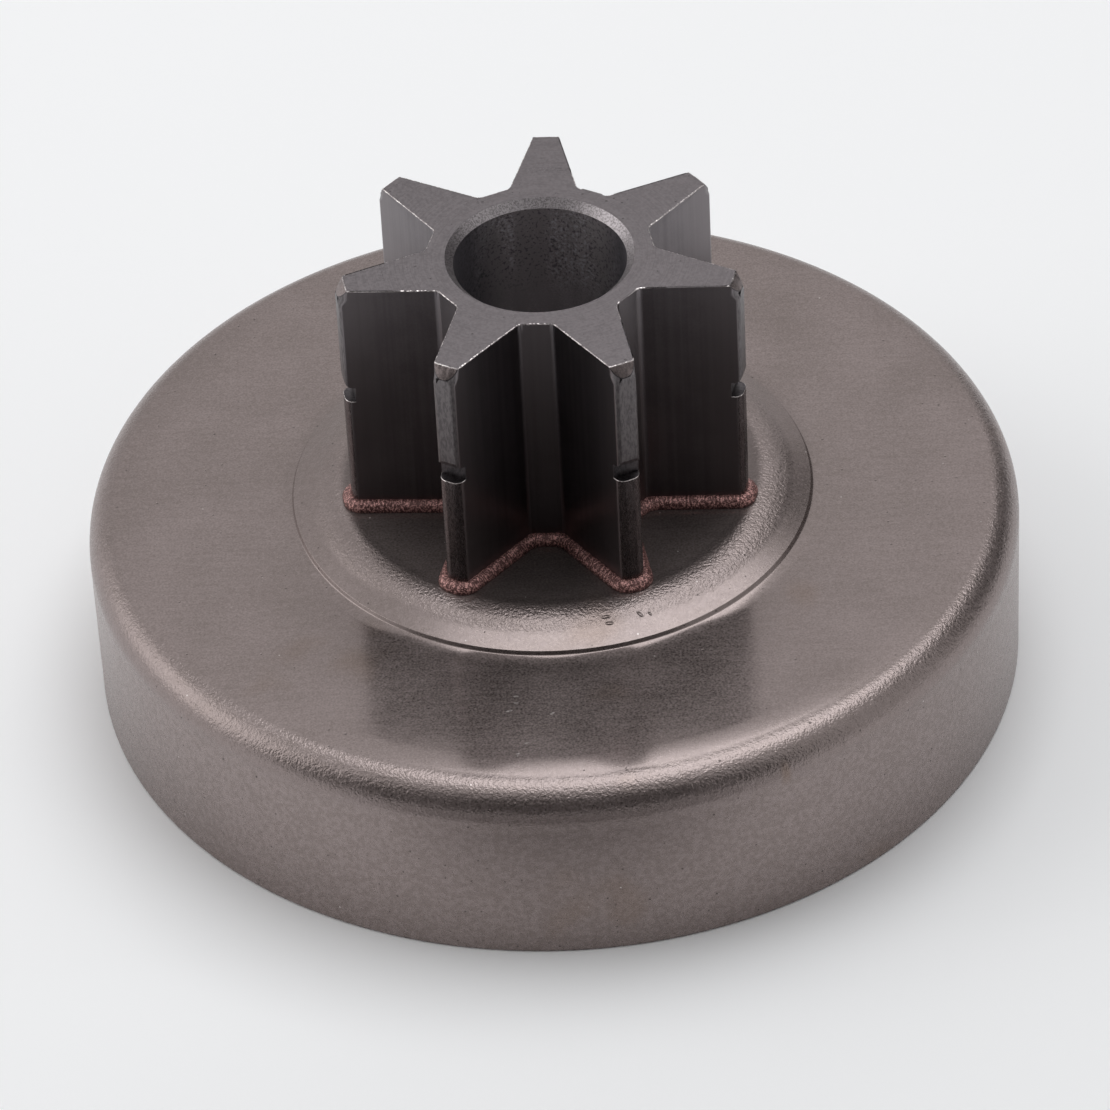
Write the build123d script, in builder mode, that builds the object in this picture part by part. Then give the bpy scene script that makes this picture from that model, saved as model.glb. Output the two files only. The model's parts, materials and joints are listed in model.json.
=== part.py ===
from build123d import *
import math
import os

# Chainsaw clutch drum: a deep-drawn steel cup with a spur sprocket brazed upright to its face.
# Millimetres. The axis of rotation is Z, the open rim stands on Z = 0 and the sprocket points up.

# Drawn steel cup
drum_outer_radius = 38.5
drum_wall = 2.2
face_height = 16.4
face_thickness = 2.4
shoulder_radius = 2.9
inner_corner_radius = 1.2
rim_edge_break = 0.25

# Raised boss in the middle of the cup's face
boss_flat_margin = 0.56
boss_slope_width = 3.4
boss_slope_rise = 1.35
boss_bend_radius = 3.0
boss_step_height = 0.45
boss_step_foot_radius = 0.2

# Spur sprocket
tooth_count = 7
first_tooth_angle = 86.3
bore_radius = 7.0
core_wall = 2.17
tooth_height = 7.48
tooth_tip_width = 1.8
tooth_flank_angle = 13.4
tooth_root_radius = 0.7
toothed_length = 22.3
upper_tip_edge_radius = 0.4
lower_tip_edge_radius = 0.75
tip_chamfer_height = 0.95
tip_chamfer_width = 0.7
top_bore_chamfer = 0.65
bottom_bore_chamfer = 0.5

# Groove turned across the tooth tips
groove_above_boss = 11.05
groove_height = 1.4
groove_depth = 0.8
groove_lip_radius = 0.6

# Spigot under the sprocket, in the cup's centre hole
spigot_shoulder = 0.32
spigot_protrusion = 0.5
braze_gap = 0.05

# Braze bead round the foot of the teeth
braze_width = 0.82
braze_height = 0.85
braze_crown_radius = 0.6
braze_root_radius = 1.2

# Radii and heights that follow from the sizes above
root_flat_radius = bore_radius + core_wall
tip_radius = root_flat_radius + tooth_height
spigot_radius = root_flat_radius - spigot_shoulder
centre_hole_radius = spigot_radius + braze_gap
drum_inner_radius = drum_outer_radius - drum_wall
boss_flat_radius = tip_radius + braze_width + boss_flat_margin
boss_step_radius = boss_flat_radius + boss_slope_width
inside_height = face_height - face_thickness
boss_foot_height = face_height + boss_step_height
boss_top = boss_foot_height + boss_slope_rise
boss_underside = boss_top - face_thickness
sprocket_top = boss_top + toothed_length
spigot_bottom = boss_underside - spigot_protrusion
groove_bottom = boss_top + groove_above_boss
groove_top = groove_bottom + groove_height


def corner_at(sketch, x, y):
    """Return the sketch corner nearest to (x, y) in the sketch's own plane."""
    return sketch.vertices().sort_by_distance((x, y))[0]


def corner_rings(sketch):
    """Return the sketch corners grouped by their distance from the axis, nearest first."""
    return sketch.vertices().group_by(lambda corner: Vector(corner.X, corner.Y).length, tol_digits=3)


def toothed_outline(tip_edge_radius):
    """Return the sprocket's cross-section, its tip corners rounded by tip_edge_radius."""
    half_tip = tooth_tip_width / 2
    half_base = half_tip + tip_radius * math.tan(math.radians(tooth_flank_angle))
    with BuildSketch() as outline:
        RegularPolygon(root_flat_radius, tooth_count, major_radius=False, rotation=first_tooth_angle)
        with PolarLocations(0, tooth_count, start_angle=first_tooth_angle):
            Polygon(
                (0, -half_base),
                (tip_radius, -half_tip),
                (tip_radius, half_tip),
                (0, half_base),
                align=None,
            )
        fillet(corner_rings(outline)[0], tooth_root_radius)
        fillet(corner_rings(outline)[-1], tip_edge_radius)
    return outline.sketch


# Cup: one drawn sheet, whose inside follows the boss and the shoulder
with BuildPart() as drum_cup:
    with BuildSketch(Plane.XZ) as cup_section:
        with BuildLine():
            Polyline(
                (drum_outer_radius, 0),
                (drum_outer_radius, face_height),
                (boss_step_radius, face_height),
                (boss_step_radius, boss_foot_height),
                (boss_flat_radius, boss_top),
                (centre_hole_radius, boss_top),
                (centre_hole_radius, boss_underside),
                (boss_flat_radius, boss_underside),
                (boss_step_radius, inside_height),
                (drum_inner_radius, inside_height),
                (drum_inner_radius, 0),
                close=True,
            )
        make_face()
        fillet(corner_at(cup_section, drum_outer_radius, face_height), shoulder_radius)
        fillet(corner_at(cup_section, drum_inner_radius, inside_height), inner_corner_radius)
        fillet(corner_at(cup_section, boss_step_radius, face_height), boss_step_foot_radius)
        fillet(corner_at(cup_section, boss_flat_radius, boss_top), boss_bend_radius)
        fillet(corner_at(cup_section, boss_flat_radius, boss_underside), boss_bend_radius)
        fillet(corner_at(cup_section, boss_step_radius, inside_height), boss_bend_radius)
        rim_corners = cup_section.vertices().group_by(Axis.Y)[0]
        chamfer(rim_corners, rim_edge_break)
    revolve(axis=Axis.Z)
drum_cup.part.label = "drum_cup"

# Sprocket: toothed bar, rounder at the tips below the groove than above it, with a turned spigot
with BuildPart() as spur_sprocket:
    with BuildSketch(Plane.XY.offset(boss_top)):
        add(toothed_outline(lower_tip_edge_radius))
    extrude(amount=groove_above_boss + groove_height / 2)
    with BuildSketch(Plane.XY.offset(groove_bottom + groove_height / 2)):
        add(toothed_outline(upper_tip_edge_radius))
    extrude(amount=toothed_length - groove_above_boss - groove_height / 2)
    with BuildSketch(Plane.XY.offset(spigot_bottom)):
        Circle(spigot_radius)
    extrude(amount=boss_top - spigot_bottom)

    # Tip chamfer at the free end and groove across the tips, both turned
    with BuildSketch(Plane.XZ):
        with BuildLine():
            Polyline(
                (tip_radius - 2 * tip_chamfer_width, sprocket_top + tip_chamfer_height),
                (tip_radius + tip_chamfer_width, sprocket_top - 2 * tip_chamfer_height),
                (tip_radius + tip_chamfer_width, sprocket_top + tip_chamfer_height),
                close=True,
            )
        make_face()
        with BuildLine():
            groove_floor = tip_radius - groove_depth
            clear_of_tips = tip_radius + groove_depth
            lip_top = groove_top + groove_lip_radius
            Polyline(
                (tip_radius, lip_top),
                (clear_of_tips, lip_top),
                (clear_of_tips, groove_bottom),
                (groove_floor, groove_bottom),
                (groove_floor, groove_top),
                (tip_radius - groove_lip_radius, groove_top),
            )
            CenterArc((tip_radius - groove_lip_radius, lip_top), groove_lip_radius, 270, 90)
        make_face()
    revolve(axis=Axis.Z, mode=Mode.SUBTRACT)

    # Bearing bore, bevelled at both ends
    with BuildSketch(Plane.XZ):
        with BuildLine():
            Polyline(
                (0, spigot_bottom),
                (bore_radius + bottom_bore_chamfer, spigot_bottom),
                (bore_radius, spigot_bottom + bottom_bore_chamfer),
                (bore_radius, sprocket_top - top_bore_chamfer),
                (bore_radius + top_bore_chamfer, sprocket_top),
                (0, sprocket_top),
                close=True,
            )
        make_face()
    revolve(axis=Axis.Z, mode=Mode.SUBTRACT)
spur_sprocket.part.label = "spur_sprocket"

# Bead of braze on the boss, all round the foot of the teeth
with BuildPart() as braze_bead:
    with BuildSketch(Plane.XY.offset(boss_top)) as bead_outline:
        add(toothed_outline(lower_tip_edge_radius))
        offset(amount=braze_width, kind=Kind.ARC)
        fillet(corner_rings(bead_outline)[0], braze_root_radius)
    extrude(amount=braze_height)
    crown = braze_bead.faces().sort_by(Axis.Z)[-1].outer_wire().edges()
    fillet(crown, braze_crown_radius)
    with BuildSketch(Plane.XY.offset(boss_top)):
        add(toothed_outline(lower_tip_edge_radius))
    extrude(amount=braze_height, mode=Mode.SUBTRACT)
braze_bead.part.label = "braze_bead"

os.makedirs("parts", exist_ok=True)
for piece in (drum_cup, spur_sprocket, braze_bead):
    export_step(piece.part, f"parts/{piece.part.label}.step")
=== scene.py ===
"""Looks of a chainsaw clutch drum: a drawn steel cup, a spur sprocket and the copper braze between them."""

import json
import logging
import math
from contextlib import contextmanager
from dataclasses import dataclass, replace
from enum import Enum, IntEnum
from typing import Callable, Iterator, Mapping, Optional, Sequence, Union

import bmesh
import bpy
from mathutils import Matrix, Vector
from mathutils.kdtree import KDTree


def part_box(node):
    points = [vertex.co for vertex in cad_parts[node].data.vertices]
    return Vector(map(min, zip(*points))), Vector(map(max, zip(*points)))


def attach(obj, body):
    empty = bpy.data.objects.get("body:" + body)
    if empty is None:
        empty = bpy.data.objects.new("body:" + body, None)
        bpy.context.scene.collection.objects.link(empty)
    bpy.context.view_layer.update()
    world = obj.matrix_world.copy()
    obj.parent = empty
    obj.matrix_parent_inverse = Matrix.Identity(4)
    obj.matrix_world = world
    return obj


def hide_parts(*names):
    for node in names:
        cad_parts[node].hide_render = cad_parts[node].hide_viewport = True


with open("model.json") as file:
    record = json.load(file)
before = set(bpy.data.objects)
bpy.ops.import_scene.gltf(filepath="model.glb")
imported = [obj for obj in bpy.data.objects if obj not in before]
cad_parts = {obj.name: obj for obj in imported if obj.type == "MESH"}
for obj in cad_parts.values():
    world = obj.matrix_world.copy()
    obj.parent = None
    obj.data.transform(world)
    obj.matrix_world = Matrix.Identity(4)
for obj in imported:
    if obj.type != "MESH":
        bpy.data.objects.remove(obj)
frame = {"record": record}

LOG = logging.getLogger("clutch_drum")
MM = 0.001
NEAR = 0.01 * MM

Colour = tuple[float, float, float]
Number = Union["Signal", float]


class Element(Enum):
    """What a selection is made of."""

    CORNERS = "VERT"
    EDGES = "EDGE"
    FACES = "FACE"


class Cut(Enum):
    """How a second solid changes the first."""

    KEEP_SHARED = "INTERSECT"
    TAKE_AWAY = "DIFFERENCE"


@dataclass(frozen=True)
class Ring:
    """One corner of a turned section.

    Attributes:
        radius: Distance from the axis.
        height: Height above the rim.
        rounding: Radius of the corner's round, or 0 for a sharp corner.
        steps: Number of faces across the round.
    """

    radius: float
    height: float
    rounding: float = 0.0
    steps: int = 1

    def carries(self, edge: bmesh.types.BMEdge) -> bool:
        """Whether an edge lies on this ring."""
        return level(edge, self.height) and all(abs(away - self.radius) < NEAR for away in ends_away(edge))


@dataclass(frozen=True)
class ToothForm:
    """Section of the drawn bar that the sprocket is cut from.

    Attributes:
        first_angle: Direction of the first tooth, in degrees from +X.
        root_flat_radius: Distance from the axis to the flats between the teeth.
        tip_radius: Distance from the axis to the flat tooth tips.
        half_tip: Half the width of a tooth tip.
        flank_angle: Angle between a flank and the middle of its tooth, in degrees.
        root_rounding: Radius between a flank and the root flat.
        tip_rounding: Radius at the edges of a tooth tip.
        round_steps: Number of faces across each round.
    """

    count: int = 7
    first_angle: float = 86.3
    root_flat_radius: float = 9.17 * MM
    tip_radius: float = 16.65 * MM
    half_tip: float = 0.9 * MM
    flank_angle: float = 13.4
    root_rounding: float = 0.7 * MM
    tip_rounding: float = 0.4 * MM
    round_steps: int = 8

    @property
    def flank(self) -> float:
        """The flank angle in radians."""
        return math.radians(self.flank_angle)

    @property
    def half_gap(self) -> float:
        """Half the angle from one tooth to the next, in radians."""
        return math.pi / self.count

    def directions(self) -> list[float]:
        """The direction of each tooth, in radians."""
        return [math.radians(self.first_angle) + 2 * self.half_gap * index for index in range(self.count)]

    def foot(self) -> tuple[float, float]:
        """Works out where a flank meets the root flat.

        Returns:
            The place's distance along the tooth and across it.
        """
        lean = math.tan(self.flank)
        across_axis = self.half_tip + self.tip_radius * lean
        along = self.root_flat_radius - across_axis * math.sin(self.half_gap)
        along /= math.cos(self.half_gap) - lean * math.sin(self.half_gap)
        return along, self.half_tip + (self.tip_radius - along) * lean

    def grown(self, by: float) -> "ToothForm":
        """The same form with every side moved outwards.

        Args:
            by: Distance that each side moves.

        Returns:
            The larger form, whose convex corners are rounder and whose concave ones are sharper.
        """
        return replace(
            self,
            root_flat_radius=self.root_flat_radius + by,
            tip_radius=self.tip_radius + by,
            half_tip=self.half_tip + by * (1 / math.cos(self.flank) - math.tan(self.flank)),
            root_rounding=max(self.root_rounding - by, 0.08 * MM),
            tip_rounding=self.tip_rounding + by,
        )


def level(edge: bmesh.types.BMEdge, height: float) -> bool:
    """Whether an edge lies at a height."""
    return all(abs(corner.co.z - height) < NEAR for corner in edge.verts)


def ends_away(edge: bmesh.types.BMEdge) -> list[float]:
    """How far from the axis the two ends of an edge are."""
    return [corner.co.xy.length for corner in edge.verts]


class Workpiece:
    """One mesh on the bench, shaped by operators in edit mode."""

    def __init__(self, name: str) -> None:
        """Takes the primitive that was just added, and names it."""
        self.piece: bpy.types.Object = bpy.context.active_object
        self.piece.name = self.piece.data.name = name

    def alone(self) -> None:
        """Makes this piece the only one selected."""
        bpy.ops.object.select_all(action="DESELECT")
        self.piece.select_set(True)
        bpy.context.view_layer.objects.active = self.piece

    @contextmanager
    def editing(self, element: Element) -> Iterator[None]:
        """Opens the piece in edit mode.

        Args:
            element: What is selected in this stretch of work.

        Yields:
            Nothing: the piece is in edit mode until the stretch ends.
        """
        self.alone()
        bpy.ops.object.mode_set(mode="EDIT")
        bpy.ops.mesh.select_mode(type=element.value)
        try:
            yield
        finally:
            bpy.ops.object.mode_set(mode="OBJECT")

    def pick(self, element: Element, wanted: Callable[..., bool]) -> None:
        """Selects only what passes a test, while the piece is in edit mode.

        Args:
            element: Corners, edges or faces.
            wanted: The test, given a corner, an edge or a face.
        """
        bpy.ops.mesh.select_mode(type=element.value)
        bpy.ops.mesh.select_all(action="DESELECT")
        mesh = bmesh.from_edit_mesh(self.piece.data)
        group = {Element.CORNERS: mesh.verts, Element.EDGES: mesh.edges, Element.FACES: mesh.faces}[element]
        for item in [item for item in group if wanted(item)]:
            item.select_set(True)
        mesh.select_flush_mode()
        bmesh.update_edit_mesh(self.piece.data)

    def bevel(
        self,
        element: Element,
        wanted: Callable[..., bool],
        width: float,
        steps: int = 1,
        profile: float = 0.5,
    ) -> None:
        """Bevels the edges or corners that pass a test, while the piece is in edit mode.

        Args:
            element: Edges or corners.
            wanted: The test, given an edge or a corner.
            width: How far the bevel reaches along the faces beside it.
            steps: Number of faces across it.
            profile: Its shape, where 0.5 is round and 1 is square.
        """
        self.pick(element, wanted)
        bpy.ops.mesh.bevel(
            offset_type="OFFSET",
            offset=width,
            segments=steps,
            profile=profile,
            affect="EDGES" if element is Element.EDGES else "VERTICES",
            clamp_overlap=False,
        )

    def close_doubles(self, distance: float = 0.001 * MM) -> None:
        """Merges corners that lie on each other and turns every face outwards.

        Args:
            distance: How near two corners are to be merged.
        """
        with self.editing(Element.CORNERS):
            bpy.ops.mesh.select_all(action="SELECT")
            bpy.ops.mesh.remove_doubles(threshold=distance)
            bpy.ops.mesh.normals_make_consistent(inside=False)

    def absorb(self, other: "Workpiece") -> None:
        """Joins another piece into this one.

        Args:
            other: The piece that is used up.
        """
        self.alone()
        other.piece.select_set(True)
        bpy.ops.object.join()

    def modify(self, kind: str, **settings: object) -> None:
        """Gives the piece a modifier and applies it.

        Args:
            kind: The modifier's type.
            settings: Its settings by name.
        """
        self.alone()
        bpy.ops.object.modifier_add(type=kind)
        modifier = self.piece.modifiers[-1]
        for name, value in settings.items():
            setattr(modifier, name, value)
        bpy.ops.object.modifier_apply(modifier=modifier.name)

    def combine(self, other: "Workpiece", cut: Cut) -> None:
        """Cuts this piece with another one, which is used up."""
        self.modify("BOOLEAN", object=other.piece, operation=cut.value, solver="EXACT")
        bpy.data.objects.remove(other.piece)

    def smooth(self, sharp_angle: float = 28.0) -> None:
        """Shades the piece smooth, with large faces left flat.

        Args:
            sharp_angle: Edges that turn by more than this many degrees stay sharp.
        """
        self.alone()
        bpy.ops.object.shade_smooth_by_angle(angle=math.radians(sharp_angle), keep_sharp_edges=True)
        self.modify("WEIGHTED_NORMAL", keep_sharp=True)

    def dress(
        self, finishes: Sequence["Finish"], choose: Callable[[bpy.types.MeshPolygon], int] = lambda face: 0
    ) -> None:
        """Gives each face one of several finishes.

        Args:
            finishes: The finishes, in the order of their slots.
            choose: Returns the slot for a face.
        """
        self.piece.data.materials.clear()
        for finish in finishes:
            self.piece.data.materials.append(finish.material())
        for polygon in self.piece.data.polygons:
            polygon.material_index = choose(polygon)


def turned(name: str, rings: Sequence[Ring], corners: int = 256) -> Workpiece:
    """Turns a closed section about the axis: a circle is extruded from ring to ring and joined up.

    Args:
        name: Name of the piece.
        rings: The section's corners in order.
        corners: Number of corners round each ring.

    Returns:
        The closed piece, with its corners rounded.
    """
    bpy.ops.object.select_all(action="DESELECT")
    bpy.ops.mesh.primitive_circle_add(vertices=corners, radius=rings[0].radius, fill_type="NOTHING")
    work = Workpiece(name)
    with work.editing(Element.EDGES):
        bpy.ops.mesh.select_all(action="SELECT")
        bpy.ops.transform.translate(value=(0, 0, rings[0].height))
        for last, ring in zip(rings, rings[1:]):
            rise = (0, 0, ring.height - last.height)
            bpy.ops.mesh.extrude_region_move(TRANSFORM_OT_translate={"value": rise})
            widen = ring.radius / last.radius
            bpy.ops.transform.resize(value=(widen, widen, 1), center_override=(0, 0, ring.height))
        work.pick(Element.EDGES, lambda edge: edge.is_boundary)
        bpy.ops.mesh.bridge_edge_loops()
        for last, ring, following in zip([rings[-1], *rings], rings, [*rings[1:], rings[0]]):
            if ring.rounding:
                arriving = Vector((ring.radius - last.radius, ring.height - last.height))
                leaving = Vector((following.radius - ring.radius, following.height - ring.height))
                setback = ring.rounding * math.tan(arriving.angle(leaving) / 2)
                work.bevel(Element.EDGES, ring.carries, setback, ring.steps)
    work.close_doubles()
    return work


def toothed_plate(name: str, form: ToothForm, longest_side: Optional[float] = None) -> Workpiece:
    """Draws the bar's section as one flat face at height 0.

    Args:
        name: Name of the piece.
        form: Sizes of the section.
        longest_side: Straight sides longer than this are divided, unless it is None.

    Returns:
        The flat piece.
    """
    corner_radius = form.root_flat_radius / math.cos(form.half_gap)
    bpy.ops.object.select_all(action="DESELECT")
    bpy.ops.mesh.primitive_circle_add(vertices=form.count, radius=corner_radius, fill_type="NGON")
    work = Workpiece(name)
    start = work.piece.data.vertices[0].co
    work.piece.rotation_euler.z = math.radians(form.first_angle) - math.atan2(start.y, start.x)
    work.alone()
    bpy.ops.object.transform_apply(rotation=True)
    foot_along, foot_across = form.foot()
    slide = math.hypot(foot_along - corner_radius, foot_across)
    narrow = form.half_tip / foot_across
    middle = (form.root_flat_radius + form.tip_radius) / 2
    root_setback = form.root_rounding * math.tan((math.pi / 2 - form.half_gap - form.flank) / 2)
    tip_setback = form.tip_rounding * math.tan((math.pi / 2 - form.flank) / 2)
    with work.editing(Element.CORNERS):
        work.bevel(Element.CORNERS, lambda corner: True, slide)
        for direction in form.directions():
            outwards = Vector((math.cos(direction), math.sin(direction), 0))
            foot = outwards * foot_along
            work.pick(
                Element.EDGES,
                lambda edge: (sum((corner.co for corner in edge.verts), Vector()) / 2 - foot).length < NEAR,
            )
            reach = outwards * (form.tip_radius - foot_along)
            bpy.ops.mesh.extrude_edges_move(TRANSFORM_OT_translate={"value": reach})
            bpy.ops.transform.resize(value=(narrow,) * 3, center_override=outwards * form.tip_radius)
        bpy.ops.mesh.select_all(action="SELECT")
        bpy.ops.mesh.dissolve_limited(angle_limit=math.radians(1))
        work.bevel(Element.CORNERS, lambda corner: corner.co.length < middle, root_setback, form.round_steps)
        work.bevel(Element.CORNERS, lambda corner: corner.co.length > middle, tip_setback, form.round_steps)
        if longest_side:
            bpy.ops.mesh.select_all(action="SELECT")
            bpy.ops.mesh.delete(type="ONLY_FACE")
            divide_sides(work, longest_side)
            bpy.ops.mesh.select_all(action="SELECT")
            bpy.ops.mesh.edge_face_add()
    return work


def divide_sides(work: Workpiece, longest: float) -> None:
    """Divides the long sides of an open outline into equal parts, while it is in edit mode.

    Args:
        work: The piece whose open edges are divided.
        longest: No side is left longer than this.
    """

    def parts_of(edge: bmesh.types.BMEdge) -> int:
        """How many parts an edge is divided into."""
        return math.ceil(edge.calc_length() / longest) if not edge.link_faces or edge.is_boundary else 1

    mesh = bmesh.from_edit_mesh(work.piece.data)
    for count in sorted({parts_of(edge) for edge in mesh.edges} - {1}, reverse=True):
        work.pick(Element.EDGES, lambda edge: parts_of(edge) == count)
        bpy.ops.mesh.subdivide(number_cuts=count - 1)


def raised(work: Workpiece, low: float, high: float) -> Workpiece:
    """Makes a flat plate a solid bar.

    Args:
        work: The plate, at height 0.
        low: Height of the bar's lower end.
        high: Height of its upper end.

    Returns:
        The same piece.
    """
    with work.editing(Element.FACES):
        bpy.ops.mesh.select_all(action="SELECT")
        bpy.ops.transform.translate(value=(0, 0, low))
        bpy.ops.mesh.extrude_region_move(TRANSFORM_OT_translate={"value": (0, 0, high - low)})
    work.close_doubles()
    return work


class Signal:
    """What one socket gives, with Python's arithmetic for numbers."""

    def __init__(self, nodes: "Nodes", socket: bpy.types.NodeSocket) -> None:
        """Wraps an output socket of a node tree."""
        self.nodes = nodes
        self.socket = socket

    def _math(self, operation: str, first: Number, second: Number) -> "Signal":
        """Adds one Math node."""
        return self.nodes.make("ShaderNodeMath", {"operation": operation}, {0: first, 1: second})

    def __add__(self, other: Number) -> "Signal":
        """This plus another number."""
        return self._math("ADD", self, other)

    __radd__ = __add__

    def __sub__(self, other: Number) -> "Signal":
        """This minus another number."""
        return self._math("SUBTRACT", self, other)

    def __rsub__(self, other: Number) -> "Signal":
        """Another number minus this."""
        return self._math("SUBTRACT", other, self)

    def __mul__(self, other: Number) -> "Signal":
        """This times another number."""
        return self._math("MULTIPLY", self, other)

    __rmul__ = __mul__

    def power(self, exponent: float) -> "Signal":
        """This raised to a fixed power."""
        return self._math("POWER", self, exponent)

    def least(self, other: Number) -> "Signal":
        """The smaller of the two."""
        return self._math("MINIMUM", self, other)

    def rising(self, low: float, high: float) -> "Signal":
        """A soft step from 0 at low to 1 at high, or down again where low is above high.

        Args:
            low: Value at which the step starts.
            high: Value at which it is complete.

        Returns:
            The step, between 0 and 1.
        """
        falling = low > high
        settings = {"interpolation_type": "SMOOTHSTEP", "clamp": True}
        ends = {"From Min": min(low, high), "From Max": max(low, high)}
        limits = {"To Min": float(falling), "To Max": float(not falling)}
        return self.nodes.make("ShaderNodeMapRange", settings, {"Value": self, **ends, **limits})

    def band(self, low: float, high: float, soft: float) -> "Signal":
        """1 between two values and 0 outside them, with a fade of a width at each end."""
        return self.rising(low - soft, low) * self.rising(high + soft, high)


@dataclass(frozen=True)
class Mark:
    """A dent, scratch or stain of its own, in millimetres, seen from above.

    Attributes:
        x: Place of its middle.
        y: Place of its middle.
        length: Its length.
        width: Its width.
        turn: Direction of its length, in degrees from +X.
    """

    x: float
    y: float
    length: float
    width: float
    turn: float = 0.0


class Nodes:
    """The node tree of one material, and what is made in it."""

    def __init__(self, name: str) -> None:
        """Starts an empty material.

        Args:
            name: Its name.
        """
        self.result = bpy.data.materials.new(name)
        self.result.use_nodes = True
        self.tree = self.result.node_tree
        self.tree.nodes.clear()

    def make(
        self,
        kind: str,
        settings: Optional[Mapping[str, object]] = None,
        inputs: Optional[Mapping[Union[str, int], object]] = None,
        output: Union[str, int] = 0,
    ) -> Signal:
        """Makes one node.

        Args:
            kind: The node's type.
            settings: Its settings, which are set first.
            inputs: Values or signals for its sockets, by name or number.
            output: The socket to give back.

        Returns:
            The signal of that output.
        """
        node = self.tree.nodes.new(kind)
        for name, value in (settings or {}).items():
            setattr(node, name, value)
        for name, value in (inputs or {}).items():
            socket = node.inputs[name]
            if isinstance(value, Signal):
                self.tree.links.new(value.socket, socket)
            elif isinstance(value, tuple) and len(socket.default_value) == 4:
                socket.default_value = (*value, 1.0)
            else:
                socket.default_value = value
        return Signal(self, node.outputs[output])

    def place(self, stretch: Colour = (1.0, 1.0, 1.0)) -> Signal:
        """The place on the object in millimetres, where a small factor draws a pattern out that way."""
        inputs = {0: self.make("ShaderNodeTexCoord", output="Object"), 1: tuple(by / MM for by in stretch)}
        return self.make("ShaderNodeVectorMath", {"operation": "MULTIPLY"}, inputs)

    def part(self, vector: Signal, axis: str) -> Signal:
        """One part of a vector: X, Y or Z."""
        return self.make("ShaderNodeSeparateXYZ", None, {0: vector}, axis)

    def length(self, vector: Signal) -> Signal:
        """The length of a vector."""
        return self.make("ShaderNodeVectorMath", {"operation": "LENGTH"}, {0: vector}, "Value")

    def radius(self) -> Signal:
        """The distance from the axis in millimetres."""
        return self.length(self.place((1.0, 1.0, 0.0)))

    def height(self) -> Signal:
        """The height above the rim in millimetres."""
        return self.part(self.place(), "Z")

    def noise(self, per_mm: float, detail: float = 2.0, vector: Optional[Signal] = None) -> Signal:
        """Soft noise of about 0.2 to 0.8, read at a vector or, without one, at the plain place."""
        inputs = {"Vector": vector or self.place(), "Scale": per_mm, "Detail": detail}
        return self.make("ShaderNodeTexNoise", None, inputs, "Fac")

    def specks(self, per_mm: float, size: float) -> Signal:
        """Small round spots, strewn at random.

        Args:
            per_mm: Number of cells in a millimetre, each with one spot.
            size: Radius of the largest spot, as a share of its cell.

        Returns:
            1 in the middle of a spot and 0 between the spots.
        """
        inputs = {"Vector": self.place(), "Scale": per_mm}
        distance, chance = (
            self.make("ShaderNodeTexVoronoi", {"feature": "F1"}, inputs, output)
            for output in ("Distance", "Color")
        )
        luck = self.make("ShaderNodeSeparateColor", None, {0: chance}, "Red")
        return (luck.power(3.0) * size - distance).rising(0.0, size * 0.35)

    def ellipse(self, mark: Mark) -> Signal:
        """How far a place is from the middle of a mark, seen from above.

        Args:
            mark: The mark.

        Returns:
            0 at its middle, 1 along its edge and more outside.
        """
        inputs = {
            "Vector": self.place((1.0, 1.0, 0.0)),
            "Location": (mark.x, mark.y, 0.0),
            "Rotation": (0.0, 0.0, math.radians(mark.turn)),
            "Scale": (mark.length / 2, mark.width / 2, 1.0),
        }
        return self.length(self.make("ShaderNodeMapping", {"vector_type": "TEXTURE"}, inputs))

    def mix(self, factor: Number, first: object, second: object) -> Signal:
        """Goes from one colour or colour signal to another as a factor goes from 0 to 1."""
        return self.make("ShaderNodeMix", {"data_type": "RGBA"}, {0: factor, 6: first, 7: second}, 2)

    def surface(self, colour: object, roughness: Number, **more: object) -> Signal:
        """One shader with a colour, a roughness and whatever else it is given."""
        inputs = {"Base Color": colour, "Roughness": roughness, **more}
        return self.make("ShaderNodeBsdfPrincipled", None, inputs)

    def relief(self, height_mm: Signal) -> Signal:
        """Raises the surface by a height in millimetres."""
        return self.make("ShaderNodeBump", None, {"Distance": MM, "Height": height_mm}, "Normal")

    def end(self, surface: Signal) -> bpy.types.Material:
        """Joins a surface to the material's output.

        Args:
            surface: The surface.

        Returns:
            The finished material.
        """
        end = self.tree.nodes.new("ShaderNodeOutputMaterial")
        self.tree.links.new(surface.socket, end.inputs["Surface"])
        return self.result

    def matt(self, colour: object) -> bpy.types.Material:
        """Ends the tree in the dull surface of a floor or cloth."""
        return self.end(self.surface(colour, 0.9))

    def metal(
        self, colour: Signal, roughness: Signal, height_mm: Signal, metallic: float = 1.0
    ) -> bpy.types.Material:
        """Ends the tree in one metal surface with a relief."""
        return self.end(self.surface(colour, roughness, Metallic=metallic, Normal=self.relief(height_mm)))


@dataclass(frozen=True)
class Finish:
    """A surface finish that varies between two colours, made a material once.

    Attributes:
        name: Name of the material.
        light: Its lighter colour.
        dark: Its darker colour.
        roughness: Its mean roughness.
    """

    name: str
    light: Colour
    dark: Colour
    roughness: float

    def tint(self, nodes: Nodes, pattern: Signal, low: float, high: float) -> Signal:
        """Goes from the darker colour to the lighter one as a pattern rises between two values."""
        return nodes.mix(pattern.rising(low, high), self.dark, self.light)

    def material(self) -> bpy.types.Material:
        """Makes the finish's material."""
        raise NotImplementedError


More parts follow.
